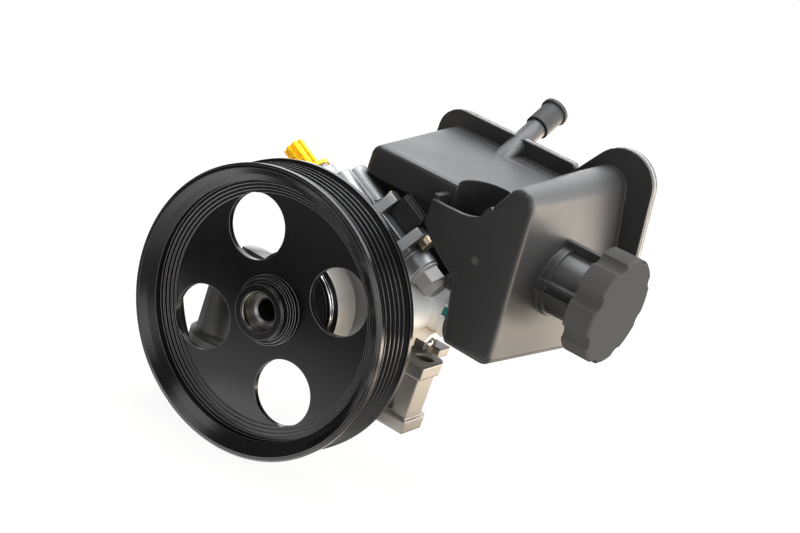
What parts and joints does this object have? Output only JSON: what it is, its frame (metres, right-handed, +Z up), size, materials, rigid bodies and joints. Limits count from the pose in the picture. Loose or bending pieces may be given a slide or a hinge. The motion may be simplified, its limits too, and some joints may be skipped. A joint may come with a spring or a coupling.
{
  "type": "power steering pump",
  "caption": "Vane pump for power steering: ribbed belt pulley with round windows, cast housing, black plastic fluid tank with a lobed filler cap.",
  "frame": {"origin": "on the shaft axis, in the middle plane of the belt", "axes": "+Y along the shaft from the pulley's front to the rear, +X towards the filler cap, +Z up"},
  "size_m": [0.193, 0.1641, 0.1711],
  "materials": {
    "black_paint": "satin black stove paint",
    "steel": "turned and ground",
    "bright_steel": "polished bearing steel",
    "spring_steel": "dark spring steel",
    "brass": "satin",
    "black_rubber": "matt",
    "cast_aluminium": "as cast, sand blasted",
    "machined_aluminium": "turned",
    "plug_metal": "zinc plated",
    "yellow_plastic": "moulded",
    "tank_plastic": "moulded black nylon, fine grain",
    "teal_rubber": "matt",
    "tan_metal": "yellow passivated",
    "cap_plastic": "moulded, dull"
  },
  "bodies": {
    "housing": {"bearing_outer_race": "steel", "bearing_circlip": "spring_steel", "shaft_seal": "black_rubber", "pump_housing": "cast_aluminium", "cam_ring": "steel", "front_pressure_plate": "machined_aluminium", "rear_pressure_plate": "machined_aluminium", "dowel_pins": "steel", "pressure_plate_spring": "spring_steel", "end_cover": "machined_aluminium", "cover_o_ring": "black_rubber", "cover_retaining_ring": "spring_steel", "rear_bush": "brass", "flow_valve_spring": "spring_steel", "valve_plug": "plug_metal", "valve_plug_o_ring": "black_rubber", "outlet_fitting": "plug_metal", "gallery_ball": "bright_steel", "reservoir_front_shell": "tank_plastic", "reservoir_rear_shell": "tank_plastic", "suction_o_ring": "teal_rubber", "tank_pin": "tan_metal"},
    "rotating_group": {"pulley": "black_paint", "drive_shaft": "steel", "bearing_inner_race": "steel", "rotor": "steel", "vanes": "steel", "rotor_circlip": "spring_steel"},
    "ball_set": {"bearing_balls": "bright_steel", "bearing_cage": "brass"},
    "flow_valve_spool": {"flow_valve_spool": "steel"},
    "cap_seal": {"cap_gasket": "black_rubber"},
    "filler_cap": {"filler_cap": "cap_plastic", "dipstick": "cap_plastic"},
    "shipping_plug": {"outlet_shipping_plug": "yellow_plastic"},
    "return_cap": {"return_dust_cap": "cap_plastic"}
  },
  "joints": [
    {"name": "pulley_spin", "type": "hinge", "parent": "housing", "child": "rotating_group", "pos_m": [0, 0, 0], "axis": [0, 1, 0], "continuous": true},
    {"name": "ball_set_orbit", "type": "hinge", "parent": "housing", "child": "ball_set", "pos_m": [0, 0, 0], "axis": [0, 1, 0], "continuous": true},
    {"name": "flow_valve_slide", "type": "slide", "parent": "housing", "child": "flow_valve_spool", "axis": [0.8988, 0, -0.4384], "range_m": [0, 0.004], "stiffness_N_per_m": 3000, "springref_m": -0.002, "deforming": ["flow_valve_spring"]},
    {"name": "cap_lift", "type": "slide", "parent": "housing", "child": "cap_seal", "axis": [1, 0, 0], "range_m": [0, 0.06]},
    {"name": "cap_turn", "type": "hinge", "parent": "cap_seal", "child": "filler_cap", "pos_m": [0.1, 0.069, 0.05], "axis": [1, 0, 0], "range_deg": [0, 90]},
    {"name": "outlet_plug_pull", "type": "slide", "parent": "housing", "child": "shipping_plug", "axis": [-0.8988, 0, 0.4384], "range_m": [0, 0.03]},
    {"name": "return_cap_pull", "type": "slide", "parent": "housing", "child": "return_cap", "axis": [0, 0.866, 0.5], "range_m": [0, 0.03]}
  ],
  "couplings": [
    {"joint": "ball_set_orbit", "follows": "pulley_spin", "ratio": 0.3772}
  ]
}
